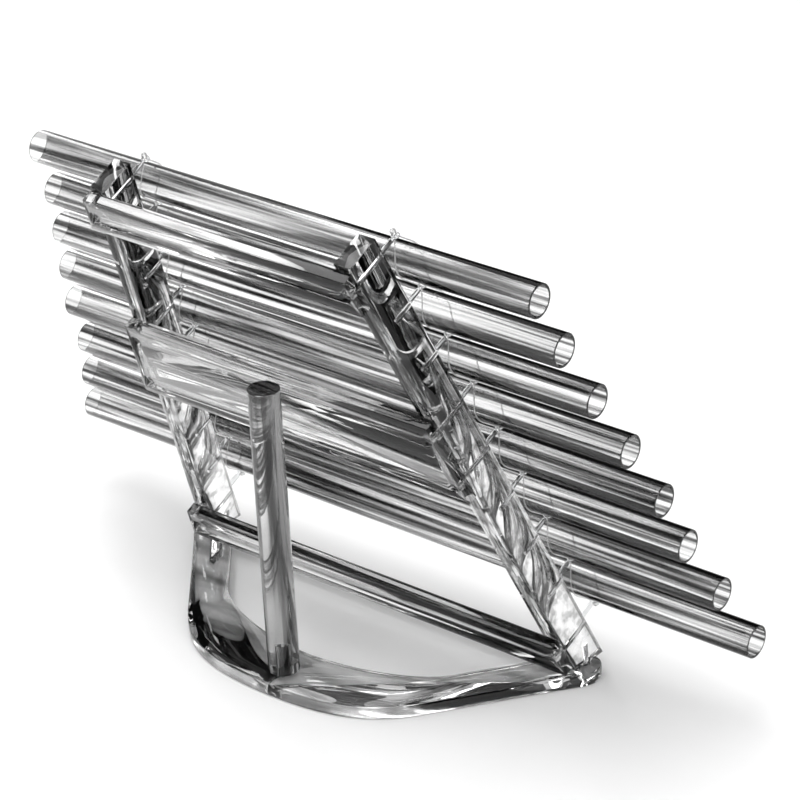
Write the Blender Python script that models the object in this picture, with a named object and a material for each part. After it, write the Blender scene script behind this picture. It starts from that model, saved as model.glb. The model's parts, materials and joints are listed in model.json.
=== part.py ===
"""Crystal tube harp: eight open quartz tubes in cord cradles on a leaning clear acrylic rack.

Metres, +Z up, the player sits on the -Y side. The rack is modelled in its own frame: x along the
tubes, y out of the rack's back, z up the rack, with the top tube's axis at y = z = 0.
"""
import math

import bmesh
import bpy
from mathutils import Matrix, Vector
from mathutils.geometry import interpolate_bezier

# Quartz tubes: a free tube's pitch goes with one over its length squared.
TUBE_RADIUS = 0.010
TUBE_WALL = 0.0015
TUBE_SIDES = 32
LONGEST_TUBE = 0.510
SEMITONES = (12, 11, 9, 7, 5, 4, 2, 0)
TUBE_PITCH = 0.037

# Rack
LEAN = math.radians(22.0)
RAIL_SPLAY = math.radians(9.0)
RAIL_X_AT_TOP_TUBE = 0.093
RAIL_WIDTH = 0.012
RAIL_DEPTH = 0.024
RAIL_SETBACK = 0.0165
RAIL_TOP = 0.034
BOARD_THICKNESS = 0.008
TOP_BOARD_HEIGHT = 0.025
TOP_BOARD_TOP = 0.031
MIDDLE_BOARD_HEIGHT = 0.061
BOTTOM_BOARD_HEIGHT = 0.024
EDGE_BEVEL = 0.0004

# Eye posts, their cords and nuts
POST_RADIUS = 0.0015
POST_SIDES = 10
EYE_WIRE = 0.00065
EYE_HOLE = 0.0015
NECK_LENGTH = 0.002
BLIND_HOLE_DEPTH = 0.0123
COUNTERBORE_RADIUS = 0.004
COUNTERBORE_DEPTH = 0.0045
NUT_RADIUS = 0.0032
NUT_HEIGHT = 0.0024
CORD_RADIUS = 0.0004
STRAND_SPACING = 0.0011
ARC_STEPS = 4
KNOT_RADIUS = 0.0019

# Stand
PLATE_THICKNESS = 0.008
ARM_ANGLE = math.radians(51.7)
NOSE_BACK = 0.040
NOSE_DEPTH = 0.039
ARM_START_X = 0.093
ARM_START_Y = 0.002
ARM_WIDTH = 0.024
FOOT_PAD_RADIUS = 0.012
FOOT_PAD_OUT = 0.003
FOOT_PAD_BACK = 0.0045
ROD_RADIUS = 0.0095
ROD_LENGTH = 0.190
ROD_SEAT_DEPTH = 0.0012
ROD_SCREW_RADIUS = 0.0025
ROD_SCREW_GRIP = 0.018
FOOT_SCREW_RADIUS = 0.00175
FOOT_SCREW_GRIP = 0.011
SCREW_HEAD_HEIGHT = 0.003
SCREW_RECESS = 0.0036

GAP = 0.0003
CURVE_STEPS = 12
OVERCUT = 0.002

LONG_POSTS = (0, 3, 4, 8)
POST_COUNT = len(SEMITONES) + 1
RAIL_BACK = RAIL_SETBACK + RAIL_DEPTH
BOARD_BACK = RAIL_BACK + BOARD_THICKNESS
POST_HOLE = POST_RADIUS + GAP
EYE_RADIUS = EYE_HOLE + EYE_WIRE
BOTTOM_TUBE_Z = -TUBE_PITCH * (len(SEMITONES) - 1)
LOWEST_POST_Z = BOTTOM_TUBE_Z - TUBE_PITCH / 2
BOTTOM_BOARD_LOW = LOWEST_POST_Z - BOTTOM_BOARD_HEIGHT / 2
# The bottom board's back edge clears the plate by this much.
BOARD_TO_PLATE = 0.0012
TO_WORLD = Matrix.Rotation(-LEAN, 3, "X")
RACK_HEIGHT = PLATE_THICKNESS + BOARD_TO_PLATE - (TO_WORLD @ Vector((0, BOARD_BACK, BOTTOM_BOARD_LOW))).z


def clear_scene():
    for old in list(bpy.data.objects):
        bpy.data.objects.remove(old, do_unlink=True)


def material(name, colour, roughness, metallic=0.0, clear=0.0):
    """A Principled material; clear is how much light passes through it."""
    made = bpy.data.materials.new(name)
    made.use_nodes = True
    shader = made.node_tree.nodes["Principled BSDF"]
    shader.inputs["Base Color"].default_value = (*colour, 1.0)
    shader.inputs["Roughness"].default_value = roughness
    shader.inputs["Metallic"].default_value = metallic
    shader.inputs["Transmission Weight"].default_value = clear
    return made


def add_object(name, bm, finish=None, parent=None, location=(0, 0, 0), smooth=False):
    """Turns a bmesh into a named object under a parent."""
    bmesh.ops.recalc_face_normals(bm, faces=bm.faces[:])
    mesh = bpy.data.meshes.new(name)
    bm.to_mesh(mesh)
    bm.free()
    if smooth:
        mesh.shade_smooth()
        mesh.set_sharp_from_angle(angle=math.radians(35))
    return place(name, mesh, finish, parent, location)


def place(name, mesh, finish=None, parent=None, location=(0, 0, 0)):
    thing = bpy.data.objects.new(name, mesh)
    bpy.context.scene.collection.objects.link(thing)
    if finish and not mesh.materials:
        mesh.materials.append(finish)
    thing.parent = parent
    thing.location = location
    return thing


def add_empty(name, location=(0, 0, 0), tilt=0.0, parent=None):
    empty = bpy.data.objects.new(name, None)
    bpy.context.scene.collection.objects.link(empty)
    empty.location = location
    empty.rotation_euler = (tilt, 0, 0)
    empty.parent = parent
    return empty


def cut(target, cutter):
    """Cuts every closed shape of one hidden cutter out of a piece."""
    cutter.hide_render = True
    cutter.display_type = "WIRE"
    boolean = target.modifiers.new("cut", "BOOLEAN")
    boolean.operation = "DIFFERENCE"
    boolean.solver = "EXACT"
    boolean.object = cutter


def bevel_edges(target, width):
    bevel = target.modifiers.new("polished edges", "BEVEL")
    bevel.width = width
    bevel.segments = 1
    bevel.limit_method = "ANGLE"
    bevel.angle_limit = math.radians(40)


def extruded(bm, outline, direction):
    """Extrudes a flat outline into a closed prism."""
    face = bm.faces.new([bm.verts.new(point) for point in outline])
    grown = bmesh.ops.extrude_face_region(bm, geom=[face])
    moved = [item for item in grown["geom"] if isinstance(item, bmesh.types.BMVert)]
    bmesh.ops.translate(bm, verts=moved, vec=direction)


def turned(bm, profile, axis, sides, centre=(0, 0, 0)):
    """Turns a profile of (along, radius) points about an axis; points on the axis close the ends."""
    axis = Vector(axis).normalized()
    side = axis.orthogonal().normalized()
    centre = Vector(centre)
    verts = [bm.verts.new(centre + axis * along + side * radius) for along, radius in profile]
    edges = [bm.edges.new(pair) for pair in zip(verts, verts[1:])]
    bmesh.ops.spin(bm, geom=verts + edges, cent=centre, axis=axis, angle=math.tau, steps=sides,
                   use_merge=True, use_duplicate=False)
    bmesh.ops.remove_doubles(bm, verts=bm.verts[:], dist=1e-6)


def plain_cylinder(bm, start, end, radius, sides):
    start, end = Vector(start), Vector(end)
    length = (end - start).length
    turned(bm, [(0, 0), (0, radius), (length, radius), (length, 0)], end - start, sides, start)


def rail_x(z):
    """Half the distance between the rails' centre lines at a height on the rack."""
    return RAIL_X_AT_TOP_TUBE - z * math.tan(RAIL_SPLAY)


def post_z(index):
    return TUBE_PITCH / 2 - TUBE_PITCH * index


def tube_length(semitones):
    return LONGEST_TUBE * 2 ** (-semitones / 24)


def make_tubes(rack, quartz):
    for index, semitones in enumerate(SEMITONES):
        half = tube_length(semitones) / 2
        bore = TUBE_RADIUS - TUBE_WALL
        bm = bmesh.new()
        ring = [(-half, bore), (-half, TUBE_RADIUS), (half, TUBE_RADIUS), (half, bore), (-half, bore)]
        turned(bm, ring, (1, 0, 0), TUBE_SIDES)
        add_object(f"tube_{index + 1}", bm, quartz, rack, (0, 0, -TUBE_PITCH * index), smooth=True)


def make_rail(side, name, rack, acrylic):
    """A splayed bar, cut level at its foot, with blind and through holes for the posts."""
    foot_z = -RACK_HEIGHT / math.cos(LEAN)
    ends = (RAIL_TOP, foot_z)
    outline = [(side * rail_x(ends[0]) + edge, RAIL_SETBACK, ends[0]) for edge in (-RAIL_WIDTH / 2, RAIL_WIDTH / 2)]
    outline += [(side * rail_x(ends[1]) + edge, RAIL_SETBACK, ends[1]) for edge in (RAIL_WIDTH / 2, -RAIL_WIDTH / 2)]
    bm = bmesh.new()
    extruded(bm, outline, (0, RAIL_DEPTH, 0))
    up = TO_WORLD.inverted() @ Vector((0, 0, 1))
    level = up * (PLATE_THICKNESS + GAP - RACK_HEIGHT)
    sliced = bmesh.ops.bisect_plane(bm, geom=bm.verts[:] + bm.edges[:] + bm.faces[:], plane_co=level,
                                    plane_no=up, clear_inner=True)
    rim = [item for item in sliced["geom_cut"] if isinstance(item, bmesh.types.BMEdge)]
    bmesh.ops.edgeloop_fill(bm, edges=rim)
    rail = add_object(name, bm, acrylic, rack)
    bevel_edges(rail, EDGE_BEVEL)
    holes = bmesh.new()
    for index in range(POST_COUNT):
        x, z = side * rail_x(post_z(index)), post_z(index)
        bottom = RAIL_BACK + OVERCUT if index in LONG_POSTS else RAIL_SETBACK + BLIND_HOLE_DEPTH
        plain_cylinder(holes, (x, RAIL_SETBACK - OVERCUT, z), (x, bottom, z), POST_HOLE, POST_SIDES)
    screw = foot_centre(side)
    start = screw.copy()
    start.z = PLATE_THICKNESS - OVERCUT
    end = screw.copy()
    end.z = PLATE_THICKNESS + FOOT_SCREW_GRIP + GAP
    lift = Vector((0, 0, RACK_HEIGHT))
    back = TO_WORLD.inverted()
    plain_cylinder(holes, back @ (start - lift), back @ (end - lift), FOOT_SCREW_RADIUS + GAP, POST_SIDES)
    cut(rail, add_object(f"{name}_holes", holes, None, rack))
    return rail


def foot_centre(side):
    """The middle of a rail's foot on the plate, in the frame of the stand."""
    middle = RAIL_SETBACK + RAIL_DEPTH / 2
    z = (PLATE_THICKNESS - RACK_HEIGHT + middle * math.sin(LEAN)) / math.cos(LEAN)
    return TO_WORLD @ Vector((side * rail_x(z), middle, z)) + Vector((0, 0, RACK_HEIGHT))


def make_board(name, top, bottom, posts, rack, acrylic):
    """A cross board on the rails' backs, its ends flush with their outer faces."""
    reach = RAIL_WIDTH / 2
    outline = [(side * (rail_x(z) + reach), RAIL_BACK + GAP, z)
               for side, z in ((-1, top), (1, top), (1, bottom), (-1, bottom))]
    bm = bmesh.new()
    extruded(bm, outline, (0, BOARD_THICKNESS - GAP, 0))
    board = add_object(name, bm, acrylic, rack)
    bevel_edges(board, EDGE_BEVEL)
    holes = bmesh.new()
    floor = BOARD_BACK - COUNTERBORE_DEPTH
    for index in posts:
        for side in (-1, 1):
            centre = (side * rail_x(post_z(index)), 0, post_z(index))
            stepped = [(RAIL_BACK - OVERCUT, 0), (RAIL_BACK - OVERCUT, POST_HOLE), (floor, POST_HOLE),
                       (floor, COUNTERBORE_RADIUS), (BOARD_BACK + OVERCUT, COUNTERBORE_RADIUS),
                       (BOARD_BACK + OVERCUT, 0)]
            turned(holes, stepped, (0, 1, 0), POST_SIDES, centre)
    cut(board, add_object(f"{name}_holes", holes, None, rack))
    return board


def eye_post_mesh(name, end, blunt, clear):
    """A pin along +y with a ring at its tip: the ring's hole faces up the rack."""
    pin = bmesh.new()
    shoulder = EYE_RADIUS + NECK_LENGTH
    profile = [(EYE_RADIUS, 0), (EYE_RADIUS, EYE_WIRE * 0.9), (shoulder, POST_RADIUS), (end - blunt, POST_RADIUS),
               (end, POST_RADIUS - blunt), (end, 0)]
    turned(pin, profile, (0, 1, 0), POST_SIDES)
    shaft = add_object(f"{name}_shaft", pin)
    ring = bmesh.new()
    section = bmesh.ops.create_circle(ring, radius=EYE_WIRE, segments=6,
                                      matrix=Matrix.Translation((EYE_RADIUS, 0, 0)) @ Matrix.Rotation(math.pi / 2, 4, "X"))
    edges = list({edge for vert in section["verts"] for edge in vert.link_edges})
    bmesh.ops.spin(ring, geom=section["verts"] + edges, cent=(0, 0, 0), axis=(0, 0, 1), angle=math.tau,
                   steps=12, use_merge=True)
    bmesh.ops.remove_doubles(ring, verts=ring.verts[:], dist=1e-6)
    loop = add_object(f"{name}_ring", ring)
    union = shaft.modifiers.new("eye", "BOOLEAN")
    union.operation = "UNION"
    union.solver = "EXACT"
    union.object = loop
    bpy.context.view_layer.update()
    mesh = bpy.data.meshes.new_from_object(shaft.evaluated_get(bpy.context.evaluated_depsgraph_get()))
    mesh.name = name
    mesh.shade_smooth()
    mesh.set_sharp_from_angle(angle=math.radians(35))
    mesh.materials.clear()
    mesh.materials.append(clear)
    bpy.data.objects.remove(shaft)
    bpy.data.objects.remove(loop)
    return mesh


def make_posts(rack, clear, steel):
    blunt = POST_RADIUS / 2
    short = eye_post_mesh("short_eye_post", RAIL_SETBACK + BLIND_HOLE_DEPTH - GAP, blunt, clear)
    floor = BOARD_BACK - COUNTERBORE_DEPTH
    long = eye_post_mesh("long_eye_post", floor + GAP + NUT_HEIGHT + blunt, blunt / 2, clear)
    nut = nut_mesh(steel)
    for side, name in ((-1, "left"), (1, "right")):
        for index in range(POST_COUNT):
            x, z = side * rail_x(post_z(index)), post_z(index)
            mesh = long if index in LONG_POSTS else short
            place(f"eye_post_{name}_{index + 1}", mesh, clear, rack, (x, 0, z))
            if index in LONG_POSTS:
                place(f"post_nut_{name}_{index + 1}", nut, steel, rack, (x, floor + GAP, z))


def nut_mesh(steel):
    ring = [(0, POST_HOLE), (0, NUT_RADIUS), (NUT_HEIGHT, NUT_RADIUS), (NUT_HEIGHT, POST_HOLE), (0, POST_HOLE)]
    bm = bmesh.new()
    turned(bm, ring, (0, 1, 0), POST_SIDES)
    bmesh.ops.recalc_face_normals(bm, faces=bm.faces[:])
    mesh = bpy.data.meshes.new("post_nut")
    bm.to_mesh(mesh)
    bm.free()
    mesh.materials.append(steel)
    return mesh


def strand_points(side, front):
    """One strand's centre line: through every eye, and round one side of every tube."""
    sign = -1 if front else 1
    lane = STRAND_SPACING / 2
    wrap = TUBE_RADIUS + GAP + CORD_RADIUS
    reach = math.hypot(TUBE_PITCH / 2, lane)
    touch = math.acos(wrap / reach) + math.atan2(lane, TUBE_PITCH / 2)
    top = post_z(0) + EYE_WIRE + GAP
    bottom = post_z(POST_COUNT - 1) - EYE_WIRE - GAP
    points = [(lane, top)]
    for index in range(len(SEMITONES)):
        axis_z = -TUBE_PITCH * index
        points.append((lane, axis_z + TUBE_PITCH / 2))
        for step in range(ARC_STEPS + 1):
            angle = touch + (math.pi - 2 * touch) * step / ARC_STEPS
            points.append((wrap * math.sin(angle), axis_z + wrap * math.cos(angle)))
    points += [(lane, post_z(POST_COUNT - 1)), (lane, bottom)]
    return [Vector((side * rail_x(z), sign * y, z)) for y, z in points]


def add_cord(name, points, rack, nylon):
    curve = bpy.data.curves.new(name, "CURVE")
    curve.dimensions = "3D"
    curve.bevel_depth = CORD_RADIUS
    curve.bevel_resolution = 2
    curve.use_fill_caps = True
    spline = curve.splines.new("POLY")
    spline.points.add(len(points) - 1)
    for knot, point in zip(spline.points, points):
        knot.co = (*point, 1.0)
    curve.materials.append(nylon)
    cord = bpy.data.objects.new(name, curve)
    bpy.context.scene.collection.objects.link(cord)
    cord.parent = rack


def make_cords(rack, nylon):
    clear = EYE_WIRE + 2 * GAP + KNOT_RADIUS
    for side, name in ((-1, "left"), (1, "right")):
        for front, face in ((True, "front"), (False, "back")):
            add_cord(f"{face}_cord_{name}", strand_points(side, front), rack, nylon)
        for z, end in ((post_z(0) + clear, "top"), (post_z(POST_COUNT - 1) - clear, "bottom")):
            knot = bmesh.new()
            bmesh.ops.create_icosphere(knot, subdivisions=2, radius=KNOT_RADIUS)
            add_object(f"cord_knot_{name}_{end}", knot, nylon, rack, (side * rail_x(z), 0, z), smooth=True)


def rod_centre_y():
    """The rod stands so that the seat at its top meets the middle board's back."""
    seat_z = PLATE_THICKNESS + GAP + ROD_LENGTH - RACK_HEIGHT
    board = (BOARD_BACK + GAP + seat_z * math.sin(LEAN)) / math.cos(LEAN)
    return board + ROD_RADIUS - ROD_SEAT_DEPTH


def make_rod(stand, acrylic):
    y = rod_centre_y()
    low = PLATE_THICKNESS + GAP
    bm = bmesh.new()
    plain_cylinder(bm, (0, y, low), (0, y, low + ROD_LENGTH), ROD_RADIUS, TUBE_SIDES)
    lift = Vector((0, 0, RACK_HEIGHT))
    seat = TO_WORLD @ Vector((0, BOARD_BACK + GAP, 0)) + lift
    sliced = bmesh.ops.bisect_plane(bm, geom=bm.verts[:] + bm.edges[:] + bm.faces[:], plane_co=seat,
                                    plane_no=TO_WORLD @ Vector((0, 1, 0)), clear_inner=True)
    rim = [item for item in sliced["geom_cut"] if isinstance(item, bmesh.types.BMEdge)]
    bmesh.ops.edgeloop_fill(bm, edges=rim)
    rod = add_object("support_rod", bm, acrylic, stand, smooth=True)
    hole = bmesh.new()
    plain_cylinder(hole, (0, y, low - OVERCUT), (0, y, low + ROD_SCREW_GRIP + GAP), ROD_SCREW_RADIUS + GAP, POST_SIDES)
    cut(rod, add_object("rod_hole", hole, None, stand))
    return rod


def plate_outline():
    """Half the boomerang plate from the middle of its nose round one arm, mirrored for the other."""
    arm = Vector((math.cos(ARM_ANGLE), -math.sin(ARM_ANGLE), 0))
    inward = Vector((-math.sin(ARM_ANGLE), -math.cos(ARM_ANGLE), 0))
    foot = foot_centre(1)
    pad = Vector((foot.x + FOOT_PAD_OUT, foot.y + FOOT_PAD_BACK, 0))
    out_start = Vector((ARM_START_X, ARM_START_Y, 0))
    out_end = out_start + arm * (pad - out_start).dot(arm) - arm * 2 * FOOT_PAD_RADIUS
    in_end = out_end + inward * ARM_WIDTH
    in_start = in_end + arm * (0.020 - (in_end - out_start).dot(arm))
    east, south, north = Vector((1, 0, 0)), Vector((0, -1, 0)), Vector((0, 1, 0))
    pull = ARM_WIDTH
    pieces = [
        ((0, NOSE_BACK, 0), (0.055, NOSE_BACK, 0), out_start - arm * 0.030, out_start),
        (out_end, out_end + arm * pull / 2, pad + east * FOOT_PAD_RADIUS + north * pull / 3, pad + east * FOOT_PAD_RADIUS),
        (pad - east * FOOT_PAD_RADIUS, pad - east * FOOT_PAD_RADIUS + north * pull / 3, in_end + arm * pull / 3, in_end),
        (in_start, in_start - arm * 0.022, (0.030, NOSE_BACK - NOSE_DEPTH, 0), (0, NOSE_BACK - NOSE_DEPTH, 0)),
    ]
    curves = [interpolate_bezier(*(Vector(p) for p in piece), CURVE_STEPS) for piece in pieces]
    turns = [math.pi * step / CURVE_STEPS for step in range(1, CURVE_STEPS)]
    tip = [pad + FOOT_PAD_RADIUS * (east * math.cos(t) + south * math.sin(t)) for t in turns]
    half = curves[0] + curves[1] + tip + curves[2] + curves[3]
    other = [Vector((-p.x, p.y, 0)) for p in half[-2:0:-1]]
    return half + other


def screw(bm, centre, radius, grip):
    """A flat-headed screw driven up from the plate's recess."""
    head = radius * 1.8
    profile = [(SCREW_RECESS - SCREW_HEAD_HEIGHT, 0), (SCREW_RECESS - SCREW_HEAD_HEIGHT, head),
               (SCREW_RECESS - GAP, head), (SCREW_RECESS - GAP, radius), (PLATE_THICKNESS + grip, radius),
               (PLATE_THICKNESS + grip, 0)]
    turned(bm, profile, (0, 0, 1), POST_SIDES, (centre.x, centre.y, 0))


def screw_hole(bm, centre, radius):
    head = radius * 1.8 + GAP
    profile = [(-OVERCUT, 0), (-OVERCUT, head), (SCREW_RECESS, head), (SCREW_RECESS, radius + GAP),
               (PLATE_THICKNESS + OVERCUT, radius + GAP), (PLATE_THICKNESS + OVERCUT, 0)]
    turned(bm, profile, (0, 0, 1), POST_SIDES, (centre.x, centre.y, 0))


def make_plate(stand, acrylic, steel):
    bm = bmesh.new()
    extruded(bm, plate_outline(), (0, 0, PLATE_THICKNESS))
    plate = add_object("base_plate", bm, acrylic, stand)
    bevel_edges(plate, EDGE_BEVEL)
    rod = Vector((0, rod_centre_y(), 0))
    feet = [foot_centre(side) for side in (-1, 1)]
    holes = bmesh.new()
    screw_hole(holes, rod, ROD_SCREW_RADIUS)
    for foot in feet:
        screw_hole(holes, foot, FOOT_SCREW_RADIUS)
    cut(plate, add_object("plate_holes", holes, None, stand))
    rod_screw = bmesh.new()
    screw(rod_screw, rod, ROD_SCREW_RADIUS, ROD_SCREW_GRIP)
    add_object("rod_screw", rod_screw, steel, stand, smooth=True)
    for foot, name in zip(feet, ("left", "right")):
        foot_screw = bmesh.new()
        screw(foot_screw, foot, FOOT_SCREW_RADIUS, FOOT_SCREW_GRIP)
        add_object(f"foot_screw_{name}", foot_screw, steel, stand, smooth=True)


def centre_depth(stand):
    """Slides the whole harp so that its box's middle is over the origin."""
    bpy.context.view_layer.update()
    graph = bpy.context.evaluated_depsgraph_get()
    depths = []
    for thing in bpy.data.objects:
        if thing.type in {"MESH", "CURVE"} and not thing.hide_render:
            shape = thing.evaluated_get(graph)
            depths += [(thing.matrix_world @ vert.co).y for vert in shape.to_mesh().vertices]
            shape.to_mesh_clear()
    stand.location.y = -(min(depths) + max(depths)) / 2


def main():
    clear_scene()
    quartz = material("clear_quartz", (0.93, 0.94, 0.95), 0.02, clear=1.0)
    acrylic = material("clear_acrylic", (0.88, 0.89, 0.90), 0.04, clear=0.95)
    pin = material("clear_polycarbonate", (0.84, 0.85, 0.86), 0.06, clear=0.9)
    steel = material("bright_steel", (0.62, 0.62, 0.63), 0.22, metallic=1.0)
    nylon = material("clear_nylon", (0.85, 0.85, 0.85), 0.25, clear=0.6)
    stand = add_empty("stand")
    rack = add_empty("rack", (0, 0, RACK_HEIGHT), -LEAN, stand)
    make_tubes(rack, quartz)
    make_rail(-1, "rail_left", rack, acrylic)
    make_rail(1, "rail_right", rack, acrylic)
    middle_top = (post_z(3) + post_z(4) + MIDDLE_BOARD_HEIGHT) / 2
    make_board("top_board", TOP_BOARD_TOP, TOP_BOARD_TOP - TOP_BOARD_HEIGHT, (0,), rack, acrylic)
    make_board("middle_board", middle_top, middle_top - MIDDLE_BOARD_HEIGHT, (3, 4), rack, acrylic)
    make_board("bottom_board", BOTTOM_BOARD_LOW + BOTTOM_BOARD_HEIGHT, BOTTOM_BOARD_LOW, (8,), rack, acrylic)
    make_posts(rack, pin, steel)
    make_cords(rack, nylon)
    make_rod(stand, acrylic)
    make_plate(stand, acrylic, steel)
    centre_depth(stand)


main()
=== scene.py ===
"""Looks for the crystal tube harp: smooth glass, clear acrylic, pale floor, soft studio light."""
import json
import math

import bmesh
import bpy
from mathutils import Matrix, Vector


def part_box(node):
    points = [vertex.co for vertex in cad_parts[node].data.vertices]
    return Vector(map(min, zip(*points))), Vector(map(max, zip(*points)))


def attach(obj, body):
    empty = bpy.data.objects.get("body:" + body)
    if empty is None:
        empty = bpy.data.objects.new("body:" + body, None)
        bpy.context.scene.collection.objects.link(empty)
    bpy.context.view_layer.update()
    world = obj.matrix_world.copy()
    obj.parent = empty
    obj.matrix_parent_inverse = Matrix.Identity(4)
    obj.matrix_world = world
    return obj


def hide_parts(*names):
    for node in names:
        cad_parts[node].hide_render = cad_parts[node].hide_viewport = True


# Sizes in metres, the same as the CAD's
TUBE_COUNT = 8
TUBE_RADIUS = 0.010
BORE_RADIUS = 0.0085
RIM_ROUNDING = 0.0004
RIM_STEPS = 4
TURNING_STEPS = 96
ROD_RADIUS = 0.0095
ROD_EDGE = 0.0003
ROD_HOLE_RADIUS = 0.0028
ROD_HOLE_DEPTH = 0.0183
SEAT_GAP = 0.0003
LEAN = math.radians(22.0)
SAME_POINT = 1e-6

# Camera: place, and its own right, up and back directions
CAMERA_PLACE = Vector((-1.1129, 1.2836, 1.1139))
CAMERA_RIGHT = Vector((-0.78835, -0.61355, -0.04536))
CAMERA_UP = Vector((0.26848, -0.40943, 0.87194))
CAMERA_BACK = Vector((-0.55355, 0.67522, 0.4875))
SENSOR_WIDTH_MM = 36.0
LENS_MM = 150.75

# Studio
FLOOR_REACH = 6
FLOOR_DROP = 0.0004
FLOOR_TONE = 0.92
WORLD_TONE = 0.80
WORLD_STRENGTH = 0.75
CARD_DISTANCE = 1.0
CARD_MIDDLE = 0.45
CARD_HEIGHT = 0.85
CARD_TONE = 0.010
# Each dark card's bearing in degrees, and its width
CARDS = ((20, 0.7), (75, 0.5), (125, 0.8), (180, 0.6), (235, 0.8), (290, 0.6), (335, 0.4))
# Each softbox's name, place, aim, size and power in watts
SOFTBOXES = (
    ("top_softbox", (0.2, 0.2, 1.6), (0, 0, 0.1), (1.6, 1.2), 22),
    ("side_softbox", (-1.5, 0.6, 0.9), (0, 0, 0.15), (0.5, 1.2), 7),
    ("back_strip", (1.3, -0.9, 0.8), (0, 0, 0.15), (0.25, 1.4), 6),
)

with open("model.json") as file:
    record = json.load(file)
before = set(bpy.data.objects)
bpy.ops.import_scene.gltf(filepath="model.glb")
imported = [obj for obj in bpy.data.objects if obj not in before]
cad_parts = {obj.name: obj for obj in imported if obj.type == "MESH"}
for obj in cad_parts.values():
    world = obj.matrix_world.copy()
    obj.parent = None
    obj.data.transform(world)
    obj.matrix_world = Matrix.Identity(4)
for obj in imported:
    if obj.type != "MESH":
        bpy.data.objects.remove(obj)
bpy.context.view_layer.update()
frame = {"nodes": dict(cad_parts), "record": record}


class Socket:
    """One output of a shader node; arithmetic on it adds Math nodes."""

    def __init__(self, finish, output):
        self.finish = finish
        self.output = output

    def math(self, operation, left, right):
        return self.finish.add("ShaderNodeMath", {"operation": operation}, {0: left, 1: right})

    def __add__(self, other):
        return self.math("ADD", self, other)

    def __mul__(self, other):
        return self.math("MULTIPLY", self, other)

    __radd__ = __add__
    __rmul__ = __mul__


class Finish:
    """A named material whose nodes are made one way, by add."""

    def __init__(self, name):
        self.material = bpy.data.materials.new(name)
        self.material.use_nodes = True
        self.tree = self.material.node_tree
        self.shader = self.tree.nodes["Principled BSDF"]

    def add(self, kind, settings, values, output=0):
        """Makes a node: its settings first, then the values or links of its sockets."""
        node = self.tree.nodes.new(kind)
        for key, value in settings.items():
            if key == "stops":
                self.set_stops(node.color_ramp, value)
            else:
                setattr(node, key, value)
        for key, value in values.items():
            self.join(node.inputs[key], value)
        return Socket(self, node.outputs[output])

    def set_stops(self, ramp, stops):
        while len(ramp.elements) < len(stops):
            ramp.elements.new(0.5)
        for element, (position, colour) in zip(ramp.elements, stops):
            element.position = position
            element.color = (*colour, 1.0)

    def join(self, socket, value):
        if isinstance(value, Socket):
            self.tree.links.new(value.output, socket)
        else:
            socket.default_value = value

    def place(self, scale, turn=(0, 0, 0)):
        """Object coordinates, stretched to a pattern's own scale."""
        here = self.add("ShaderNodeTexCoord", {}, {}, "Object")
        return self.add("ShaderNodeMapping", {}, {"Vector": here, "Scale": scale, "Rotation": turn})

    def noise(self, scale, stretch=(1, 1, 1), detail=3.0, turn=(0, 0, 0)):
        here = self.place(stretch, turn)
        return self.add("ShaderNodeTexNoise", {}, {"Vector": here, "Scale": scale, "Detail": detail})

    def ramp(self, fac, stops):
        return self.add("ShaderNodeValToRGB", {"stops": stops}, {"Fac": fac})

    def bump(self, height, strength, distance):
        values = {"Height": height, "Strength": strength, "Distance": distance}
        return self.add("ShaderNodeBump", {}, values)

    def surface(self, **values):
        """Feeds the Principled sockets named, and gives the finished material."""
        for key, value in values.items():
            self.join(self.shader.inputs[key.replace("_", " ")], value)
        return self.material


def even(tone):
    """A neutral grey of one tone."""
    return (tone, tone, tone)


def clear_quartz():
    """Drawn quartz: dark and light streaks along the tube, which are painted reflections in its colour,
    with faint lines and soft haze.
    """
    quartz = Finish("drawn_quartz")
    draw_lines = quartz.noise(260, (0.012, 1, 1))
    painted_reflection_streaks = quartz.noise(300, (0.02, 1, 1), 2.0)
    haze = quartz.noise(14, (0.35, 1, 1))
    # Painted reflection: the streak noise paints dark and light reflections of the room into the glass
    # colour.
    colour = quartz.ramp(painted_reflection_streaks, [(0.38, even(0.03)), (0.47, even(0.50)), (0.57, even(0.98))])
    return quartz.surface(Base_Color=colour, Roughness=haze * 0.02, Transmission_Weight=1.0, IOR=1.46,
                          Normal=quartz.bump(draw_lines, 0.10, 0.0004))


def clear_acrylic():
    """Cast acrylic: slanting streaks of painted reflection in its colour, slow waves in its faces and
    small polishing marks.
    """
    acrylic = Finish("cast_acrylic")
    waves = acrylic.noise(38, (0.6, 1, 1))
    marks = acrylic.noise(700, (0.08, 1, 1), 2.0)
    painted_reflection_streaks = acrylic.noise(130, (0.07, 1, 1), 2.0, (0, 0, 0.35))
    # Painted reflection: the slanting streaks paint grey and pale reflections into the acrylic's colour.
    colour = acrylic.ramp(painted_reflection_streaks, [(0.36, even(0.30)), (0.46, even(0.82)), (0.60, even(0.97))])
    return acrylic.surface(Base_Color=colour, Roughness=waves * 0.05, Transmission_Weight=1.0, IOR=1.49,
                           Normal=acrylic.bump(waves + marks * 0.08, 0.07, 0.0008))


def plate_acrylic():
    """The plate's polished sheet: grey with slanting soft streaks, which are painted reflections in its
    colour.
    """
    plate = Finish("plate_sheet")
    painted_reflection_streaks = plate.noise(60, (0.12, 1, 1), 2.0, (0, 0, 0.9))
    # Painted reflection: the slanting streaks paint grey and pale reflections into the sheet's colour;
    # the same noise also varies its roughness and bumps.
    colour = plate.ramp(painted_reflection_streaks, [(0.36, even(0.35)), (0.5, even(0.80)), (0.62, even(0.97))])
    return plate.surface(Base_Color=colour, Roughness=painted_reflection_streaks * 0.03, Transmission_Weight=1.0, IOR=1.49,
                         Normal=plate.bump(painted_reflection_streaks, 0.02, 0.0004))


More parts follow.
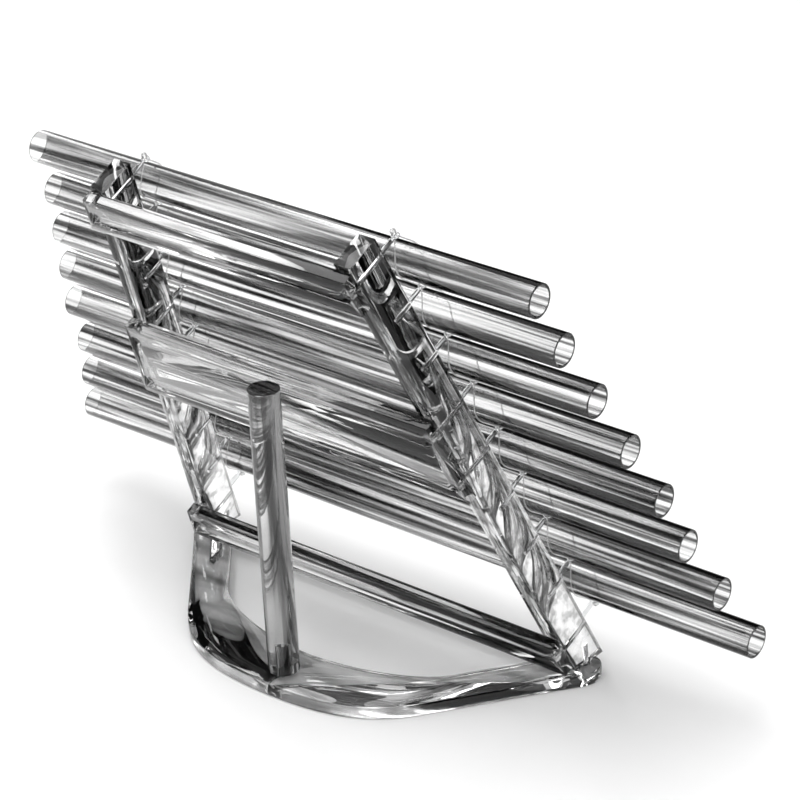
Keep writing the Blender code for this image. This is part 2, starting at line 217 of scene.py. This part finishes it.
def rod_acrylic():
    """The thick rod: upright dark and light bands painted into its colour, standing in for the dark of
    the room reflected in it.
    """
    rod = Finish("cast_rod")
    painted_reflection_bands = rod.noise(170, (1, 1, 0.04), 2.0)
    # Painted reflection: the upright bands paint the room's dark reflections into the rod's colour.
    colour = rod.ramp(painted_reflection_bands, [(0.42, even(0.05)), (0.52, even(0.30)), (0.62, even(0.96))])
    return rod.surface(Base_Color=colour, Roughness=painted_reflection_bands * 0.04, Transmission_Weight=1.0, IOR=1.49,
                       Normal=rod.bump(painted_reflection_bands, 0.05, 0.0006))


def clear_pin():
    """Moulded polycarbonate pins, a little duller than the sheet."""
    pin = Finish("moulded_pin")
    flow = pin.noise(420, (1, 1, 1))
    colour = pin.ramp(flow, [(0.3, (0.80, 0.81, 0.82)), (0.75, (0.93, 0.935, 0.94))])
    return pin.surface(Base_Color=colour, Roughness=0.05 + flow * 0.08, Transmission_Weight=1.0, IOR=1.58,
                       Normal=pin.bump(flow, 0.12, 0.0003))


def bright_steel():
    """Turned steel for the nuts and screws."""
    steel = Finish("bright_steel")
    turning = steel.noise(900, (1, 1, 0.05))
    colour = steel.ramp(turning, [(0.3, (0.42, 0.42, 0.43)), (0.75, (0.68, 0.68, 0.69))])
    return steel.surface(Base_Color=colour, Roughness=0.16 + turning * 0.18, Metallic=1.0,
                         Normal=steel.bump(turning, 0.1, 0.0002))


def clear_cord():
    """Clear nylon line with a soft sheen."""
    nylon = Finish("nylon_line")
    sheen = nylon.noise(500, (1, 1, 0.2))
    colour = nylon.ramp(sheen, [(0.3, even(0.82)), (0.75, even(0.95))])
    return nylon.surface(Base_Color=colour, Roughness=0.12 + sheen * 0.15, Transmission_Weight=0.8,
                         IOR=1.53, Normal=nylon.bump(sheen, 0.1, 0.0002))


def plain(name, tone, roughness):
    """An even studio surface with a barely visible grain."""
    finish = Finish(name)
    grain = finish.noise(60)
    colour = finish.ramp(grain, [(0.0, even(tone * 0.985)), (1.0, even(tone))])
    return finish.surface(Base_Color=colour, Roughness=roughness)


def show(name, mesh, finish, body, slot, *nodes):
    """Puts a finished mesh in the scene in place of CAD nodes, riding on a body."""
    piece = bpy.data.objects.new(name, mesh)
    bpy.context.scene.collection.objects.link(piece)
    mesh.materials.clear()
    mesh.materials.append(finish)
    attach(piece, body)
    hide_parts(*nodes)
    return piece


def smooth_mesh(name, bm, angle=32):
    """Merges a bmesh and shades it smooth, but for the edges sharper than an angle in degrees."""
    bmesh.ops.remove_doubles(bm, verts=bm.verts[:], dist=SAME_POINT)
    bmesh.ops.recalc_face_normals(bm, faces=bm.faces[:])
    mesh = bpy.data.meshes.new(name)
    bm.to_mesh(mesh)
    bm.free()
    mesh.shade_smooth()
    mesh.set_sharp_from_angle(angle=math.radians(angle))
    return mesh


def turned(profile, axis, centre):
    """Spins a profile of (along, radius) points about an axis into a closed mesh."""
    axis = Vector(axis).normalized()
    side = axis.orthogonal().normalized()
    centre = Vector(centre)
    bm = bmesh.new()
    verts = [bm.verts.new(centre + axis * along + side * radius) for along, radius in profile]
    edges = [bm.edges.new(pair) for pair in zip(verts, verts[1:])]
    bmesh.ops.spin(bm, geom=verts + edges, cent=centre, axis=axis, angle=math.tau,
                   steps=TURNING_STEPS, use_merge=True)
    return bm


def rim_points(half, side):
    """One flame-rounded end of a tube's wall, from its outer corner to its bore."""
    corners = ((TUBE_RADIUS - RIM_ROUNDING, 0, 90), (BORE_RADIUS + RIM_ROUNDING, 90, 180))
    points = []
    for radius, first, last in corners:
        for step in range(RIM_STEPS + 1):
            turn = math.radians(first + (last - first) * step / RIM_STEPS)
            along = side * (half - RIM_ROUNDING + RIM_ROUNDING * math.sin(turn))
            points.append((along, radius + RIM_ROUNDING * math.cos(turn)))
    return points


def tube_profile(half):
    """A tube wall's closed outline, for a tube of twice this length."""
    near = rim_points(half, 1)
    far = rim_points(half, -1)[::-1]
    return near + far + near[:1]


def make_tubes(quartz):
    for index in range(1, TUBE_COUNT + 1):
        low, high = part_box(f"tube_{index}")
        centre = [(a + b) / 2 for a, b in zip(low, high)]
        half = (high[0] - low[0]) / 2
        mesh = smooth_mesh(f"quartz_tube_{index}", turned(tube_profile(half), (1, 0, 0), centre), 60)
        show(f"quartz_tube_{index}", mesh, quartz, f"body_tube_{index}", "clear_quartz", f"tube_{index}")


def rod_profile(length):
    """The prop's half section, with a blind screw hole up its foot and eased edges."""
    waist = ROD_RADIUS - ROD_EDGE
    return [(ROD_HOLE_DEPTH, 0), (ROD_HOLE_DEPTH, ROD_HOLE_RADIUS), (0, ROD_HOLE_RADIUS), (0, waist),
            (ROD_EDGE, ROD_RADIUS), (length - ROD_EDGE, ROD_RADIUS), (length, waist), (length, 0)]


def make_rod(finish):
    """The prop: a turned rod with a slanting seat cut where it meets the middle board."""
    low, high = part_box("support_rod")
    bm = turned(rod_profile(high[2] - low[2]), (0, 0, 1), (0, high[1] - ROD_RADIUS, low[2]))
    bmesh.ops.remove_doubles(bm, verts=bm.verts[:], dist=SAME_POINT)
    back = Vector((0, math.cos(LEAN), -math.sin(LEAN)))
    sliced = bmesh.ops.bisect_plane(bm, geom=bm.verts[:] + bm.edges[:] + bm.faces[:],
                                    plane_co=seat_point(back), plane_no=back, clear_inner=True)
    rim = [item for item in sliced["geom_cut"] if isinstance(item, bmesh.types.BMEdge)]
    bmesh.ops.edgeloop_fill(bm, edges=rim)
    show("prop_rod", smooth_mesh("prop_rod", bm), finish, "harp_frame", "clear_acrylic", "support_rod")


def seat_point(back):
    """A point just behind the middle board's back face."""
    corners = [Vector(corner.co) for corner in frame["nodes"]["middle_board"].data.vertices]
    return max(corners, key=lambda corner: corner.dot(back)) + back * SEAT_GAP


def make_from_cad(finishes):
    """Every other node keeps its CAD shape, merged and shaded smooth over its round parts."""
    slots = {entry["node"]: entry["material_slot"] for entry in frame["record"]["subparts"]}
    for node, thing in frame["nodes"].items():
        if node.startswith("tube_") or node == "support_rod":
            continue
        bm = bmesh.new()
        bm.from_mesh(thing.data)
        slot = slots[node]
        finish = finishes.get(node, finishes[slot])
        show(f"fine_{node}", smooth_mesh(f"fine_{node}", bm, 40), finish, "harp_frame", slot, node)


def flat_sheet(name, bm, finish):
    """An object from a flat bmesh, with one finish, for the studio floor and cards."""
    mesh = bpy.data.meshes.new(name)
    bm.to_mesh(mesh)
    bm.free()
    mesh.materials.append(finish)
    thing = bpy.data.objects.new(name, mesh)
    bpy.context.scene.collection.objects.link(thing)
    return thing


def make_floor():
    bm = bmesh.new()
    bmesh.ops.create_grid(bm, x_segments=1, y_segments=1, size=FLOOR_REACH)
    bmesh.ops.translate(bm, vec=(0, 0, -FLOOR_DROP), verts=bm.verts[:])
    flat_sheet("studio_floor", bm, plain("pale_floor", FLOOR_TONE, 0.6))


def make_cards():
    """Dark cards stand round the harp. Only glass and metal see them, and they draw its dark edges."""
    black = plain("black_card", CARD_TONE, 0.9)
    for step, (bearing, width) in enumerate(CARDS):
        turn = math.radians(bearing)
        centre = (CARD_DISTANCE * math.sin(turn), -CARD_DISTANCE * math.cos(turn), CARD_MIDDLE)
        bm = bmesh.new()
        bmesh.ops.create_grid(bm, x_segments=1, y_segments=1, size=0.5)
        bmesh.ops.scale(bm, vec=(width, CARD_HEIGHT, 1), verts=bm.verts[:])
        upright = Matrix.Rotation(turn, 3, "Z") @ Matrix.Rotation(math.pi / 2, 3, "X")
        bmesh.ops.rotate(bm, cent=(0, 0, 0), matrix=upright, verts=bm.verts[:])
        bmesh.ops.translate(bm, vec=centre, verts=bm.verts[:])
        card = flat_sheet(f"dark_card_{step + 1}", bm, black)
        card.visible_camera = False
        card.visible_diffuse = False
        card.visible_shadow = False


def make_light():
    """An even pale world, and softboxes above, beside and behind."""
    world = bpy.data.worlds.new("studio")
    bpy.context.scene.world = world
    world.use_nodes = True
    background = world.node_tree.nodes["Background"]
    background.inputs["Color"].default_value = (*even(WORLD_TONE), 1)
    background.inputs["Strength"].default_value = WORLD_STRENGTH
    for name, place, aim, size, power in SOFTBOXES:
        lamp = bpy.data.lights.new(name, "AREA")
        lamp.shape = "RECTANGLE"
        lamp.size, lamp.size_y = size
        lamp.energy = power
        thing = bpy.data.objects.new(name, lamp)
        bpy.context.scene.collection.objects.link(thing)
        thing.location = place
        thing.rotation_euler = (Vector(aim) - Vector(place)).to_track_quat("-Z", "Y").to_euler()


def make_camera():
    camera = bpy.data.cameras.new("photo_camera")
    camera.sensor_width = SENSOR_WIDTH_MM
    camera.lens = LENS_MM
    thing = bpy.data.objects.new("photo_camera", camera)
    bpy.context.scene.collection.objects.link(thing)
    turn = Matrix((CAMERA_RIGHT, CAMERA_UP, CAMERA_BACK)).transposed().to_4x4()
    thing.matrix_world = Matrix.Translation(CAMERA_PLACE) @ turn
    bpy.context.scene.camera = thing


def main():
    finishes = {
        "clear_acrylic": clear_acrylic(),
        "base_plate": plate_acrylic(),
        "clear_pin": clear_pin(),
        "steel": bright_steel(),
        "clear_cord": clear_cord(),
    }
    make_tubes(clear_quartz())
    make_rod(rod_acrylic())
    make_from_cad(finishes)
    make_floor()
    make_cards()
    make_light()
    make_camera()
    bpy.context.scene.view_settings.view_transform = "Standard"


main()
